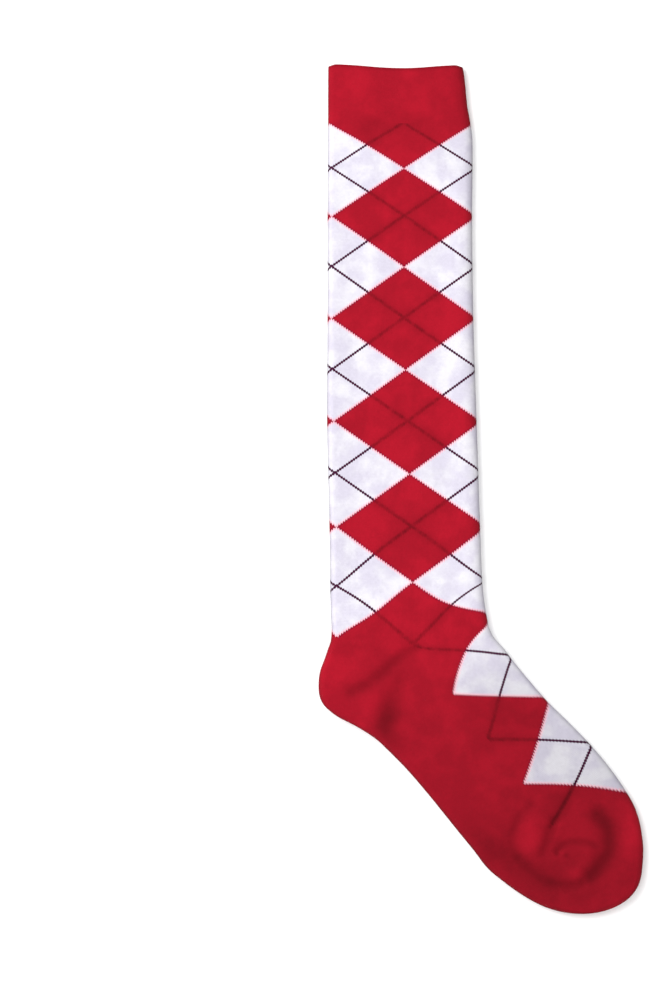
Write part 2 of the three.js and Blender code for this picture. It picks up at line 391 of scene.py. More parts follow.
class Shell:
    """The closed mesh of one piece: its outer face, its inner face, and the rims that join them."""

    HEM_STEPS = 6
    SHEET_GAP = 2 * MM  # between the charts of the bake sheet
    CHARTS = 4  # the outer and inner faces of both layers
    SLENDER = 2  # how much longer than wide charts are that all lie side by side
    CELL_CORNERS = ((0, 0), (1, 0), (1, 1), (0, 1))  # rows and spots from a cell's first corner

    def __init__(self, sock: "Sock", piece: Piece) -> None:
        """Cut the piece's cells from the sock's surface.

        Args:
            sock: The sock.
            piece: The piece to cut.
        """
        self.sock, self.piece = sock, piece
        self.cells = piece.cells(sock)
        self.count = sock.spots.count
        self.last = len(sock.rows) - 1
        self.faces: list[list[int]] = []
        self.stitches: list[np.ndarray] = []
        self.sheet: list[np.ndarray] = []
        self.shaded_smooth: list[bool] = []

    def _ids(self) -> None:
        """Number the points: outer ones first, then inner ones."""
        used = np.zeros((self.last + 1, self.count), dtype=bool)
        row, spot = np.nonzero(self.cells)
        for down in (0, 1):
            for beside in (0, 1):
                used[row + down, (spot + beside) % self.count] = True
        used[self.last, 1:] = False
        self.ids = np.cumsum(used.ravel()).reshape(used.shape) - 1
        self.ids[self.last] = self.ids[self.last, 0]
        self.each = int(used.sum())
        outer = self.sock.outer[used]
        inner = outer - self.piece.wall * self.sock.outward[used]
        self.points = [outer, inner]
        # Painted light and shade of each point, the same on the outer and inner faces.
        tone = self.sock.tone[used]
        self.painted_shading_parts = [tone, tone]

    def _add(self, corners: np.ndarray, ids: np.ndarray, sheet: np.ndarray, is_smooth: bool) -> None:
        """Add faces.

        Args:
            corners: Row and spot of each face's corners.
            ids: The corners' point numbers.
            sheet: The corners' places on the bake sheet.
            is_smooth: Whether the faces are shaded smooth.
        """
        self.faces.extend(ids.tolist())
        cells = corners[:, 0]
        self.stitches.append(self.piece.stitches(self.sock, cells, corners).reshape(-1, 2))
        self.sheet.append(sheet.reshape(-1, 2))
        self.shaded_smooth.extend([is_smooth] * len(ids))

    def _faces(self) -> None:
        """Add the outer and inner faces, each layer on its own chart of the bake sheet."""
        row, spot = np.nonzero(self.cells)
        around = np.stack([np.stack([row + d, spot + b], axis=-1) for d, b in self.CELL_CORNERS], axis=1)
        places = self.sock.flat[around[..., 0], around[..., 1]]
        low, high = places.reshape(-1, 2).min(0), places.reshape(-1, 2).max(0)
        chart_size = high - low + self.SHEET_GAP
        columns = self._chart_columns(chart_size[1] / chart_size[0])
        self.sheet_size = chart_size * (columns, self.CHARTS / columns)
        tip = around[:, 1, 0] == self.last
        upper = spot < self.sock.spots.front_fold
        for inner in (0, 1):
            for under in (0, 1):
                chart = 2 * inner + under
                offset = chart_size * (chart % columns, chart // columns) - low
                here = ~upper if under else upper
                for members, pick in ((here & ~tip, [0, 1, 2, 3]), (here & tip, [0, 1, 3])):
                    order = pick[::-1] if inner else pick
                    corners = around[members][:, order]
                    ids = self.ids[corners[..., 0], corners[..., 1] % self.count] + inner * self.each
                    self._add(corners, ids, places[members][:, order] + offset, True)

    def _chart_columns(self, tall: float) -> int:
        """Choose how many charts lie side by side, so that the bake sheet is nearly square.

        Args:
            tall: A chart's height for its width.

        Returns:
            The number of columns.
        """
        if tall > self.SLENDER:
            return self.CHARTS
        if tall < 1 / self.SLENDER:
            return 1
        return self.CHARTS // 2

    def _rims(self) -> None:
        """Join the outer and inner faces round the piece's edges."""
        padded = np.pad(self.cells, ((1, 1), (0, 0)))
        # The steps in rows and spots from a cell's first corner to the start and end of one of its edges,
        # and the cells that have no neighbour there.
        edges = {
            ((0, 1), (0, 0)): self.cells & ~padded[:-2],
            ((1, 0), (1, 1)): self.cells & ~padded[2:],
            ((0, 0), (1, 0)): self.cells & ~np.roll(self.cells, 1, axis=1),
            ((1, 1), (0, 1)): self.cells & ~np.roll(self.cells, -1, axis=1),
        }
        for (to_start, to_end), cells in edges.items():
            row, spot = np.nonzero(cells)
            is_tip = len(row) and row[0] == self.last - 1 and to_start[0] == to_end[0] == 1
            if not len(row) or is_tip:
                continue
            start = np.stack([row + to_start[0], spot + to_start[1]], axis=-1)
            end = np.stack([row + to_end[0], spot + to_end[1]], axis=-1)
            self._rim(start, end, to_start[0] == to_end[0] == 0 and row[0] == 0)

    def _rim(self, start: np.ndarray, end: np.ndarray, is_mouth: bool) -> None:
        """Add one rim, in rings from the outer face to the inner one.

        Args:
            start: Row and spot where each face of the rim starts.
            end: Row and spot where it ends.
            is_mouth: Whether it is the mouth's rim, which is a round hem.
        """
        levels = self._hem_levels() if is_mouth else [self.ids, self.ids + self.each]
        height = (math.pi / 2 if is_mouth else 1) * self.piece.wall
        left = np.arange(len(start)) / len(start)
        right = left + 1 / len(start)
        reach = np.stack([left, left, right, right], axis=1) * (self.sheet_size[0] - self.SHEET_GAP)
        corners = np.stack([start, start, end, end], axis=1)
        rings_down = np.array([0, 1, 1, 0])
        for level in range(len(levels) - 1):
            rings = rings_down + level
            ids = []
            for ring, point in zip(rings, (start, start, end, end)):
                ids.append(levels[ring][point[:, 0], point[:, 1] % self.count])
            rise = np.broadcast_to(rings * height / (len(levels) - 1), reach.shape) + self.sheet_size[1]
            self._add(corners, np.stack(ids, axis=1), np.stack([reach, rise], axis=-1), is_mouth)
        self.sheet_size[1] += height + self.SHEET_GAP

    def _hem_levels(self) -> list[np.ndarray]:
        """Add the points of the mouth's round hem.

        Returns:
            The point numbers of each ring, from the outer face's edge to the inner one's.
        """
        outer, outward = self.sock.outer[0], self.sock.outward[0]
        half = self.piece.wall / 2
        forward = outer - self.sock.outer[1]
        forward /= np.linalg.norm(forward, axis=-1, keepdims=True)
        levels = [self.ids]
        for step in range(1, self.HEM_STEPS):
            turn = math.pi * step / self.HEM_STEPS
            ring = outer - half * outward + half * (math.cos(turn) * outward + math.sin(turn) * forward)
            numbers = np.array(self.ids)
            numbers[0] = sum(len(part) for part in self.points) + np.arange(self.count)
            levels.append(numbers)
            self.points.append(ring)
            # The hem's ring takes the painted shade of the mouth's edge.
            self.painted_shading_parts.append(self.sock.tone[0])
        return [*levels, self.ids + self.each]

    def mesh(self) -> bpy.types.Mesh:
        """Build the mesh with its two maps: one of the stitches and one to bake through.

        Returns:
            The piece's mesh.
        """
        self._ids()
        self._faces()
        self._rims()
        mesh = bpy.data.meshes.new(f"{self.piece.node}_knit")
        mesh.from_pydata(np.concatenate(self.points).tolist(), [], self.faces)
        mesh.polygons.foreach_set("use_smooth", self.shaded_smooth)
        size = self.sheet_size.max()
        sheet = [part / size for part in self.sheet]
        for name, places in ((STITCH_MAP, self.stitches), (BAKE_MAP, sheet)):
            layer = mesh.uv_layers.new(name=name)
            layer.uv.foreach_set("vector", np.concatenate(places).astype(np.float32).ravel())
        # Store the painted light and shade as a point attribute, which the material multiplies into the
        # colour.
        tone = mesh.attributes.new(PAINTED_SHADING, "FLOAT", "POINT")
        tone.data.foreach_set("value", np.concatenate(self.painted_shading_parts).astype(np.float32))
        mesh.uv_layers.active = mesh.uv_layers[STITCH_MAP]
        self._mark_rims(mesh)
        mesh.validate()
        return mesh

    def _mark_rims(self, mesh: bpy.types.Mesh) -> None:
        """Keep the shading of the outer and inner faces apart from the flat rims.

        Args:
            mesh: The piece's mesh.
        """
        flat_edges = set()
        for polygon in mesh.polygons:
            if not polygon.use_smooth:
                flat_edges.update(polygon.edge_keys)
        sharp = mesh.attributes.new("sharp_edge", "BOOLEAN", "EDGE")
        sharp.data.foreach_set("value", [edge.key in flat_edges for edge in mesh.edges])


class Value:
    """A socket of a shader, on which an expression adds its nodes."""

    def __init__(self, shader: "Shader", socket: bpy.types.NodeSocket | None) -> None:
        """Wrap a socket.

        Args:
            shader: The shader that the socket is part of.
            socket: The socket, or None of a node that has no output.
        """
        self.shader, self.socket = shader, socket

    def __add__(self, other: "Value | float") -> "Value":
        """Return the sum."""
        return self.shader.maths("ADD", self, other)

    __radd__ = __add__

    def __sub__(self, other: "Value | float") -> "Value":
        """Return the difference."""
        return self.shader.maths("SUBTRACT", self, other)

    def __rsub__(self, other: float) -> "Value":
        """Return the difference from a number."""
        return self.shader.maths("SUBTRACT", other, self)

    def __mul__(self, other: "Value | float") -> "Value":
        """Return the product."""
        return self.shader.maths("MULTIPLY", self, other)

    __rmul__ = __mul__

    def __truediv__(self, other: "Value | float") -> "Value":
        """Return the quotient."""
        return self.shader.maths("DIVIDE", self, other)

    def __pow__(self, power: float) -> "Value":
        """Return the power."""
        return self.shader.maths("POWER", self, power)

    def __abs__(self) -> "Value":
        """Return the size without its sign."""
        return self.shader.maths("ABSOLUTE", self)

    def __gt__(self, other: "Value | float") -> "Value":
        """Return 1 where this is greater, else 0."""
        return self.shader.maths("GREATER_THAN", self, other)

    def floor(self) -> "Value":
        """Return the whole number below."""
        return self.shader.maths("FLOOR", self)

    def part(self) -> "Value":
        """Return what is left above the whole number below."""
        return self.shader.maths("FRACT", self)

    def from_whole(self) -> "Value":
        """Return the distance to the nearest whole number."""
        return abs((self + 0.5).part() - 0.5)

    def least(self, other: "Value | float") -> "Value":
        """Return the lesser of two."""
        return self.shader.maths("MINIMUM", self, other)

    def most(self, other: "Value | float") -> "Value":
        """Return the greater of two."""
        return self.shader.maths("MAXIMUM", self, other)

    def ease(self, start: float, end: float) -> "Value":
        """Turn this into a share that changes smoothly between two values.

        Args:
            start: Where the share is 0.
            end: Where the share is 1, which may be the lesser of the two.

        Returns:
            The share.
        """
        settings = {"interpolation_type": "SMOOTHSTEP"}
        if start < end:
            values = {0: self, 1: start, 2: end, 3: 0.0, 4: 1.0}
        else:
            values = {0: self, 1: end, 2: start, 3: 1.0, 4: 0.0}
        return self.shader.node("ShaderNodeMapRange", settings, values)


class Shader:
    """A material under construction, with short ways to add its nodes."""

    def __init__(self, name: str) -> None:
        """Start a material.

        Args:
            name: The material's name.
        """
        self.material = bpy.data.materials.new(name)
        self.material.use_nodes = True
        self.tree = self.material.node_tree
        self.tree.nodes.clear()

    def node(
        self,
        kind: str,
        settings: dict | None = None,
        values: dict | None = None,
        out: int | str = 0,
    ) -> Value:
        """Add a node.

        Args:
            kind: The node's type.
            settings: Its settings, set before its sockets.
            values: Numbers, colours or links for its sockets, by index or name.
            out: The output to return, by index or name.

        Returns:
            The chosen output.
        """
        made = self.tree.nodes.new(kind)
        for name, setting in (settings or {}).items():
            setattr(made, name, setting)
        for socket, value in (values or {}).items():
            if isinstance(value, Value):
                self.tree.links.new(value.socket, made.inputs[socket])
            else:
                made.inputs[socket].default_value = value
        return Value(self, made.outputs[out] if made.outputs else None)

    def maths(self, operation: str, *values: Value | float) -> Value:
        """Return the outcome of a Math node on up to three values."""
        return self.node("ShaderNodeMath", {"operation": operation}, dict(enumerate(values)))

    def mix(self, share: Value | float, first: Value | Colour, second: Value | Colour) -> Value:
        """Mix two colours.

        Args:
            share: How much of the second colour there is, from 0 to 1.
            first: The first colour.
            second: The second colour.

        Returns:
            The colour between the two.
        """
        ends = [end if isinstance(end, Value) else (*end, 1.0) for end in (first, second)]
        # A Mix node's colours are its sockets 6 and 7, and its colour comes out at 2.
        values = {0: share, 6: ends[0], 7: ends[1]}
        return self.node("ShaderNodeMix", {"data_type": "RGBA"}, values, out=2)

    def scaled(self, colour: Value, factor: Value | float) -> Value:
        """Return a colour made lighter or darker by a factor."""
        return self.node("ShaderNodeVectorMath", {"operation": "SCALE"}, {0: colour, "Scale": factor})

    def noise(self, size: float, detail: float) -> Value:
        """Add smooth noise over the object's own space.

        Args:
            size: Size of its patches in metres.
            detail: How many finer noises it holds.

        Returns:
            The noise, from 0 to 1.
        """
        place = self.node("ShaderNodeTexCoord", out="Object")
        values = {"Vector": place, "Scale": 1 / size, "Detail": detail}
        return self.node("ShaderNodeTexNoise", {}, values)


class Stitches:
    """The plain knit stitches of a material: where each lies and how it stands out."""

    HALF_WALE = 0.5  # from a wale's middle to its side, in wales

    def __init__(self, shader: Shader, slant: float) -> None:
        """Count the stitches over the surface.

        Args:
            shader: The material's shader.
            slant: How far a stitch's two legs slant, as a share of its height.
        """
        self.shader = shader
        place = shader.node("ShaderNodeUVMap", {"uv_map": STITCH_MAP})
        self.round = shader.node("ShaderNodeSeparateXYZ", {}, {0: place}, out=0)
        self.along = shader.node("ShaderNodeSeparateXYZ", {}, {0: place}, out=1)
        self.wale = self.round * STITCHES_PER_UNIT
        self.aside = abs(self.wale.part() - self.HALF_WALE)
        self.course = self.along * STITCHES_PER_UNIT + self.aside * (slant / self.HALF_WALE)
        self.slanted = self.course / STITCHES_PER_UNIT
        self.cell_round = (self.wale.floor() + 0.5) / STITCHES_PER_UNIT
        self.cell_along = (self.course.floor() + 0.5) / STITCHES_PER_UNIT

    def toothed(self, tooth: float) -> Value:
        """Put a tooth into each wale.

        Args:
            tooth: How many courses deep the teeth are.

        Returns:
            The place along the tube, with the teeth.
        """
        steepness = tooth / self.HALF_WALE / STITCHES_PER_UNIT
        return self.along + (self.aside - self.HALF_WALE / 2) * steepness

    def height(self) -> Value:
        """Work out how the stitches stand out.

        Returns:
            Their height, from 0 in the gaps to 1 on the two legs of each.
        """
        legs = self.shader.maths("SINE", self.aside * (math.pi / self.HALF_WALE))
        rows = self.shader.maths("SINE", self.course.part() * math.pi)
        return legs * rows**0.5

    def chance(self) -> Value:
        """Draw a number for each stitch.

        Returns:
            A number from 0 to 1 that differs from stitch to stitch.
        """
        cell = self.shader.node("ShaderNodeCombineXYZ", {}, {0: self.cell_round, 1: self.cell_along})
        settings = {"noise_dimensions": "2D"}
        return self.shader.node("ShaderNodeTexWhiteNoise", settings, {"Vector": cell}, out="Value")


@dataclass(frozen=True)
class Yarn:
    """A yarn's two shades, which mingle in soft patches, and how unevenly it takes the light."""

    shade: Colour
    light: Colour
    patch: float = 13 * MM
    patch_detail: float = 3.0
    all_shade: float = 0.36  # the noise up to which only the shade shows
    all_light: float = 0.66  # the noise from which on only the light shows
    speckle: float = 0.06  # how much darker the darkest stitches are

    def colour(self, shader: Shader, stitches: Stitches) -> Value:
        """Colour the surface with the yarn.

        Args:
            shader: The material's shader.
            stitches: The material's stitches.

        Returns:
            The colour.
        """
        patches = shader.noise(self.patch, self.patch_detail).ease(self.all_shade, self.all_light)
        mingled = shader.mix(patches, self.shade, self.light)
        return shader.scaled(mingled, 1 - self.speckle * stitches.chance())


RED_YARN = Yarn(shade=(0.314, 0.0045, 0.0152), light=(0.374, 0.0055, 0.0180), patch=16 * MM)
WHITE_YARN = Yarn(shade=(0.590, 0.560, 0.656), light=(0.700, 0.683, 0.732))


@dataclass(frozen=True)
class Knit:
    """A fine plain knit in one yarn."""

    name: str = "plain_knit"
    yarn: Yarn = RED_YARN
    slant: float = 0.8  # of a stitch's legs, as a share of its height
    stitch_depth: float = 0.16 * MM
    relief: float = 0.7  # how strongly the stitches stand out
    gap_shade: float = 0.1  # how much painted shade darkens the gaps between the stitches
    fuzz: float = 0.35 * MM
    fuzz_detail: float = 1.0
    fuzz_height: float = 0.5  # as a share of the stitches' depth
    roughness: float = 0.88
    specular: float = 0.08

    def colour(self, shader: Shader, stitches: Stitches) -> Value:
        """Return the knit's colour over the surface."""
        return self.yarn.colour(shader, stitches)

    def material(self) -> bpy.types.Material:
        """Build the knit's material.

        Returns:
            The material.
        """
        shader = Shader(self.name)
        stitches = Stitches(shader, self.slant)
        # Painted light and shade: the knit's colour is scaled by the point attribute of painted shading.
        tone = shader.node("ShaderNodeAttribute", {"attribute_name": PAINTED_SHADING}, out="Fac")
        stitch_height = stitches.height()
        # Painted shade in the gaps between the stitches.
        gaps = 1 - self.gap_shade + self.gap_shade * stitch_height
        colour = shader.scaled(self.colour(shader, stitches), gaps * tone)
        height = stitch_height + self.fuzz_height * shader.noise(self.fuzz, self.fuzz_detail)
        bump = {"Strength": self.relief, "Distance": self.stitch_depth, "Height": height}
        values = {
            "Base Color": colour,
            "Roughness": self.roughness,
            "Specular IOR Level": self.specular,
            "Normal": shader.node("ShaderNodeBump", {}, bump),
        }
        surface = shader.node("ShaderNodeBsdfPrincipled", {}, values)
        shader.node("ShaderNodeOutputMaterial", {}, {0: surface})
        return shader.material


@dataclass(frozen=True)
class ArgyleKnit(Knit):
    """Argyle: red and white diamonds with thin dark lines that cross in their middles.

    The lines are crisp on white and faint on red. Each diamond's edge is toothed by the stitches, pinkish
    on the white side and darker on the red side. Below the ankle, the sole's half of the tube is plain.
    """

    SOFT_CORE = 0.2  # the share of a soft stripe's width in which it has its full strength
    RED_ABOVE = 0.25  # splits halves of even numbers, which have no part left, from those of odd ones

    name: str = "argyle_knit"
    ground: Yarn = WHITE_YARN
    diamond: float = 52.7 * MM  # between two neighbouring lines that run the same way
    line_colour: Colour = (0.046, 0.005, 0.026)
    line_width: float = 1.35 * MM
    line_blur: float = 0.25  # as a share of half the line's width
    faint_line: float = 0.24  # how much darker the lines are on red
    faint_width: float = 1.7 * MM  # from the line's middle to its side, and so for the next three widths
    faint_patch: float = 3 * MM
    faint_patch_detail: float = 1.0
    faint_gain: float = 2.4  # how much the faint lines come and go with the patches
    faint_loss: float = 0.2  # how much weaker they are all along
    halo: float = 0.10  # how much darker the red is on both sides of a line
    halo_width: float = 5.5 * MM
    fringe: Colour = (0.82, 0.36, 0.43)  # of the white side's edge
    fringe_share: float = 0.85
    fringe_width: float = 1.6 * MM
    edge: Colour = (0.15, 0.003, 0.024)  # of the red side's edge
    edge_share: float = 0.75
    edge_width: float = 1.3 * MM
    tooth: float = 1.2  # courses deep
    sole_from: float = 9.0  # the row where the plain sole starts
    ends_at: float = 13.0  # the row where the argyle ends

    def _to_line(self, first: Value, second: Value) -> Value:
        """Return the distance to the nearest dark line, from the places across both ways' lines."""
        return first.from_whole().least(second.from_whole()) * self.diamond

    def _to_edge(self, first: Value, second: Value) -> Value:
        """Return the distance to the nearest edge of a diamond, from the same places."""
        return (0.5 - first.from_whole()).least(0.5 - second.from_whole()) * self.diamond

    def _red(self, shader: Shader, red: Value, to_line: Value, to_edge: Value) -> Value:
        """Return the red of a diamond.

        Args:
            shader: The material's shader.
            red: The red yarn's colour.
            to_line: Distance to the nearest line.
            to_edge: Distance to the diamond's edge.

        Returns:
            The colour.
        """
        patches = shader.noise(self.faint_patch, self.faint_patch_detail)
        uneven = self.faint_gain * patches - self.faint_loss
        stripe = to_line.ease(self.faint_width, self.SOFT_CORE * self.faint_width)
        faint = self.faint_line * stripe * uneven
        halo = self.halo * to_line.ease(self.halo_width, 0.0)
        share = self.edge_share * to_edge.ease(self.edge_width, self.SOFT_CORE * self.edge_width)
        return shader.mix(share, shader.scaled(red, 1 - faint - halo), self.edge)

    def _white(self, shader: Shader, white: Value, to_line: Value, to_edge: Value) -> Value:
        """Return the white of a diamond.

        Args:
            shader: The material's shader.
            white: The white yarn's colour.
            to_line: Distance to the nearest line.
            to_edge: Distance to the diamond's edge.

        Returns:
            The colour.
        """
        fringed = shader.mix(to_edge.ease(self.fringe_width, 0.0) * self.fringe_share, white, self.fringe)
        half = self.line_width / 2
        line = to_line.ease((1 + self.line_blur) * half, (1 - self.line_blur) * half)
        return shader.mix(line, fringed, self.line_colour)

    def colour(self, shader: Shader, stitches: Stitches) -> Value:
        """Colour the surface with the argyle.

        Args:
            shader: The material's shader.
            stitches: The material's stitches.

        Returns:
            The colour.
        """
        toothed = stitches.toothed(self.tooth)
        first, second = (stitches.round + toothed) * 0.5, (stitches.round - toothed) * 0.5
        number = (first + 0.5).floor() + (second + 0.5).floor()
        is_red = (number * 0.5).part() > self.RED_ABOVE
        to_edge = self._to_edge(first, second)
        line_first = (stitches.round + stitches.slanted) * 0.5
        line_second = (stitches.round - stitches.slanted) * 0.5
        to_line = self._to_line(line_first, line_second)
        red = self.yarn.colour(shader, stitches)
        white = self._white(shader, self.ground.colour(shader, stitches), to_line, to_edge)
        argyle = shader.mix(is_red, white, self._red(shader, red, to_line, to_edge))
        is_off_instep = abs(stitches.round - UNITS_ROUND / 2) > UNITS_ROUND / 4
        is_sole = is_off_instep * (toothed > self.sole_from)
        is_plain = is_sole.most(toothed > self.ends_at)
        return shader.mix(is_plain, argyle, red)


def plain(name: str) -> Knit:
    """Return the red knit under a piece's own name."""
    return Knit(name=name)


@dataclass(frozen=True)
class Cuff(Piece):
    """The double band round the mouth."""

    node: str = "cuff"
    slot: str = "red_knit"
    length: float = 33.5 * MM
    back_width: float = 86 * MM
    front_width: float = 86 * MM
    loft: float = 9 * MM
    wall: float = 1.5 * MM
    heading: float = 0.0
    turn: float = math.radians(3.6)
    steps: int = 26
    first_row: float = -2.08
    finish: Knit = plain("cuff_red_knit")
    # Row, at, shift, back, front, back turn, front turn, loft.
    lines: tuple[Line, ...] = (
        Line(-2.08, 0.000, 0.000, 0.540, 0.435, -1.00, 1.00, 0.94),
        Line(-1.75, 0.300, 0.000, 0.540, 0.450, -0.50, 0.50, 1.00),
        Line(-1.35, 0.670, 0.000, 0.540, 0.465, -0.10, 0.10, 1.00),
    )


@dataclass(frozen=True)
class Leg(Piece):
    """The long argyle leg from the cuff to the ankle."""

    node: str = "leg"
    slot: str = "argyle_knit"
    length: float = 325 * MM
    back_width: float = 90 * MM
    front_width: float = 90 * MM
    loft: float = 9.4 * MM
    wall: float = 1.2 * MM
    heading: float = 0.0
    turn: float = math.radians(37.4)
    steps: int = 180
    first_row: float = -1.0
    finish: Knit = ArgyleKnit(name="leg_argyle_knit")
    # Row, at, shift, back, front, back turn, front turn, loft.
    lines: tuple[Line, ...] = (
        Line(-1.0, 0.000, 0.000, 0.516, 0.466, 0.00, 0.00, 0.96),
        Line(-0.6, 0.036, 0.000, 0.518, 0.480, 0.00, 0.00, 1.00),
        Line(1.0, 0.183, 0.002, 0.522, 0.475, 0.00, 0.00, 1.00),
        Line(3.0, 0.378, 0.002, 0.522, 0.484, 0.00, 0.00, 1.00),
        Line(5.0, 0.575, 0.026, 0.549, 0.483, 0.00, 0.00, 1.00),
        Line(7.0, 0.776, 0.053, 0.559, 0.480, 0.00, 0.00, 1.03),
        Line(8.0, 0.881, 0.062, 0.564, 0.487, 0.00, 0.00, 1.06),
        Line(8.5, 0.940, 0.064, 0.562, 0.506, -0.05, 0.22, 1.08),
    )


@dataclass(frozen=True)
class Heel(Piece):
    """The turned heel, a mitred pocket on the back half of the tube."""

    node: str = "heel"
    slot: str = "red_knit"
    length: float = 142.5 * MM
    back_width: float = 68 * MM
    front_width: float = 94 * MM
    loft: float = 10.2 * MM
    wall: float = 1.2 * MM
    heading: float = math.radians(37.4)
    turn: float = math.radians(37.4)
    steps: int = 44
    first_row: float = 9.0
    finish: Knit = plain("heel_red_knit")
    # Row, at, shift, back, front, back turn, front turn, loft.
    lines: tuple[Line, ...] = (
        Line(9.00, 0.000, 0.000, 0.745, 0.525, -0.13, 0.480, 1.00),
        Line(9.09, 0.026, 0.000, 0.827, 0.511, 0.08, 0.535, 1.00),
        Line(9.19, 0.052, 0.000, 0.932, 0.499, 0.29, 0.590, 1.02),
        Line(9.30, 0.083, 0.000, 1.000, 0.487, 0.53, 0.660, 1.03),
        Line(9.41, 0.113, 0.000, 0.955, 0.478, 0.70, 0.720, 1.03),
        Line(9.54, 0.152, 0.000, 0.856, 0.473, 0.86, 0.790, 1.02),
    )

    def cells(self, sock: "Sock") -> np.ndarray:
        """Mark the back half of the heel's rows.

        Args:
            sock: The sock.

        Returns:
            True for each cell of the heel.
        """
        mask = super().cells(sock)
        mask[:, sock.spots.upper_middle : sock.spots.lower_middle] = False
        return mask

    def stitches(self, sock: "Sock", cells: np.ndarray, corners: np.ndarray) -> np.ndarray:
        """Place the heel's stitches, which follow the ankle above the mitre and the sole below it.

        Args:
            sock: The sock.
            cells: Row and spot of each cell.
            corners: Row and spot of each cell's corners.

        Returns:
            The corners' places in the knitting, in half diamonds round and along.
        """
        rows, spots = corners[..., 0], corners[..., 1] % sock.spots.count
        place = sock.outer[rows, spots, :2]
        under = np.where(cells[:, 1] < sock.spots.front_fold, 1.0, -1.0)[:, None]
        first = sock.first_step(self)
        frames = []
        for edge, side in ((first, 1.0), (first + self.steps, -1.0)):
            middle = sock.outer[edge, sock.spots.upper_middle, :2]
            turn = sock.back_turn[edge]
            away = -(place - middle) @ across(turn)
            depth = side * ((place - middle) @ along(turn))
            frames.append((away, depth, sock.courses[edge, sock.spots.upper_middle], side))
        upper_depth, lower_depth = frames[0][1].mean(-1), frames[1][1].mean(-1)
        above = (upper_depth < lower_depth)[:, None]
        away = np.where(above, frames[0][0], frames[1][0])
        courses = [row + side * depth / COURSES_LENGTH for _, depth, row, side in frames]
        wales = (1 - away / WALES_LENGTH) * under
        return np.stack([wales, np.where(above, courses[0], courses[1])], axis=-1)


@dataclass(frozen=True)
class Foot(Piece):
    """The foot, with argyle on the instep and a plain sole.

    Beside the heel it is the front half of the tube.
    """

    node: str = "foot"
    slot: str = "argyle_knit"
    length: float = 142.5 * MM
    back_width: float = 94 * MM
    front_width: float = 94 * MM
    loft: float = 10.2 * MM
    wall: float = 1.2 * MM
    heading: float = math.radians(37.4)
    turn: float = math.radians(37.4)
    steps: int = 108
    first_row: float = 9.54
    finish: Knit = ArgyleKnit(
        name="foot_argyle_knit",
        fringe=(1.00, 0.44, 0.52),
        edge_share=0.9,
        tooth=1.8,
    )
    # Row, at, shift, back, front, back turn, front turn, loft.
    lines: tuple[Line, ...] = (
        Line(9.78, 0.218, 0.000, 0.561, 0.478, 0.98, 0.86, 1.00),
        Line(10.0, 0.280, 0.000, 0.541, 0.475, 1.01, 0.92, 1.00),
        Line(10.5, 0.405, 0.000, 0.517, 0.480, 1.01, 0.96, 1.00),
        Line(11.0, 0.533, 0.000, 0.505, 0.492, 1.01, 0.96, 1.00),
        Line(11.5, 0.654, 0.000, 0.500, 0.520, 0.99, 0.93, 1.00),
        Line(12.0, 0.775, 0.000, 0.496, 0.546, 0.96, 0.87, 0.99),
        Line(12.5, 0.888, 0.000, 0.492, 0.560, 0.90, 0.75, 0.98),
    )

    def cells(self, sock: "Sock") -> np.ndarray:
        """Mark the foot's rows and the front half of the heel's rows.

        Args:
            sock: The sock.

        Returns:
            True for each cell of the foot.
        """
        mask = super().cells(sock)
        first = sock.first_step(self)
        heel = slice(first - sock.heel.steps, first)
        mask[heel, sock.spots.upper_middle : sock.spots.lower_middle] = True
        return mask


@dataclass(frozen=True)
class Toe(Piece):
    """The closed toe."""

    node: str = "toe"
    slot: str = "red_knit"
    length: float = 60 * MM
    back_width: float = 99 * MM
    front_width: float = 99 * MM
    loft: float = 10.2 * MM
    wall: float = 1.2 * MM
    heading: float = math.radians(24.5)
    turn: float = math.radians(24.5)
    steps: int = 90
    first_row: float = 13.0
    last_row: float = 14.85
    bluntness: float = 4.0  # the power in the curve of the round end
    finish: Knit = plain("toe_red_knit")
    # Row, at, shift, back, front, back turn, front turn, loft.
    lines: tuple[Line, ...] = (
        Line(13.00, 0.00, 0.000, 0.470, 0.531, 1.22, 0.88, 0.97),
        Line(13.46, 0.25, 0.054, 0.474, 0.474, 1.00, 1.00, 0.97),
        Line(13.93, 0.50, 0.079, 0.425, 0.425, 1.00, 1.00, 0.97),
        Line(14.39, 0.75, 0.106, 0.378, 0.378, 1.00, 1.00, 0.95),
        Line(14.85, 1.00, 0.160, 0.348, 0.348, 1.00, 1.00, 0.92),
    )
